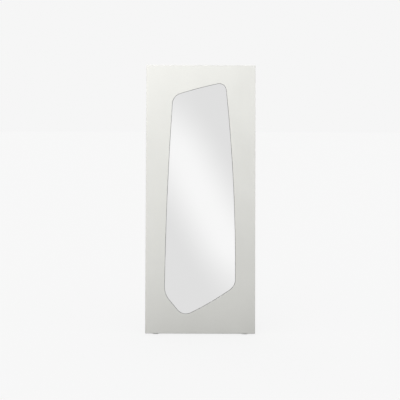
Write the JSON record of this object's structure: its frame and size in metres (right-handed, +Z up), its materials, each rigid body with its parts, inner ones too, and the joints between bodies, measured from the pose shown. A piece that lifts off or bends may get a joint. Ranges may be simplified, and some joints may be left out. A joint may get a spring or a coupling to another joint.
{
  "type": "floor mirror",
  "caption": "Full-length free-standing mirror: steel-faced rectangular panel with an inset free-form mirror, leaning back on a fold-out tube leg with a sliding stay.",
  "frame": {"origin": "on the floor, at the middle of the footprint's bounding box in X and Y, with the leg folded out", "axes": "+Z up, the mirror faces -Y and the leg stands towards +Y, +X to the right of somebody who looks into the mirror"},
  "size_m": [0.787, 0.4088, 1.9229],
  "materials": {
    "steel": "satin",
    "board": "raw fibreboard",
    "mirror": "silvered glass, polished edge",
    "film": "matte film",
    "tape": "foam tape",
    "plywood": "raw plywood",
    "pine": "planed softwood",
    "back_board": "black hardboard",
    "zinc": "zinc plated",
    "powder_coat": "fine-textured powder coat",
    "rubber": "matte",
    "clear_rubber": "cloudy translucent",
    "nylon": "natural nylon"
  },
  "bodies": {
    "panel": {"steel_skin": "steel", "face_board": "board", "mirror_glass": "mirror", "safety_film": "film", "mirror_tape": "tape", "base_board": "plywood", "left_stile": "pine", "right_stile": "pine", "top_rail": "pine", "bottom_rail": "pine", "hinge_rail": "pine", "stay_rail": "pine", "back_cover": "back_board", "cover_screws": "zinc", "left_hinge_bracket": "zinc", "right_hinge_bracket": "zinc", "hinge_bracket_screws": "zinc", "left_pivot_bolt": "zinc", "right_pivot_bolt": "zinc", "left_pivot_nut": "zinc", "right_pivot_nut": "zinc", "stay_track": "zinc", "stay_track_screws": "zinc", "left_strap": "zinc", "right_strap": "zinc", "strap_screws": "zinc", "left_leg_rest": "rubber", "right_leg_rest": "rubber", "left_front_foot": "clear_rubber", "right_front_foot": "clear_rubber"},
    "leg": {"leg_tube": "powder_coat", "crossbar": "powder_coat", "left_leg_plug": "rubber", "right_leg_plug": "rubber", "left_pivot_bush": "nylon", "right_pivot_bush": "nylon", "left_collar": "zinc", "right_collar": "zinc", "collar_screws": "zinc", "left_rear_foot": "rubber", "right_rear_foot": "rubber"},
    "stay": {"stay_bar": "zinc", "stay_sleeve": "zinc", "stay_pin": "zinc", "left_pin_glide": "nylon", "right_pin_glide": "nylon", "pin_clip": "zinc"},
    "left_hanger": {"left_ring": "zinc"},
    "right_hanger": {"right_ring": "zinc"}
  },
  "joints": [
    {"name": "leg_fold", "type": "hinge", "parent": "panel", "child": "leg", "pos_m": [0, 0.01037, 1.29087], "axis": [1, 0, 0], "range_deg": [-15, 0]},
    {"name": "stay_swing", "type": "hinge", "parent": "leg", "child": "stay", "pos_m": [0, 0.073, 0.84525], "axis": [1, 0, 0], "range_deg": [0, 30]},
    {"name": "left_ring_swing", "type": "hinge", "parent": "panel", "child": "left_hanger", "pos_m": [-0.3553, 0.03891, 1.62992], "axis": [1, 0, 0], "range_deg": [-8, 178]},
    {"name": "right_ring_swing", "type": "hinge", "parent": "panel", "child": "right_hanger", "pos_m": [0.3553, 0.03891, 1.62992], "axis": [1, 0, 0], "range_deg": [-8, 178]}
  ],
  "couplings": [
    {"joint": "stay_swing", "follows": "leg_fold", "ratio": -2}
  ]
}
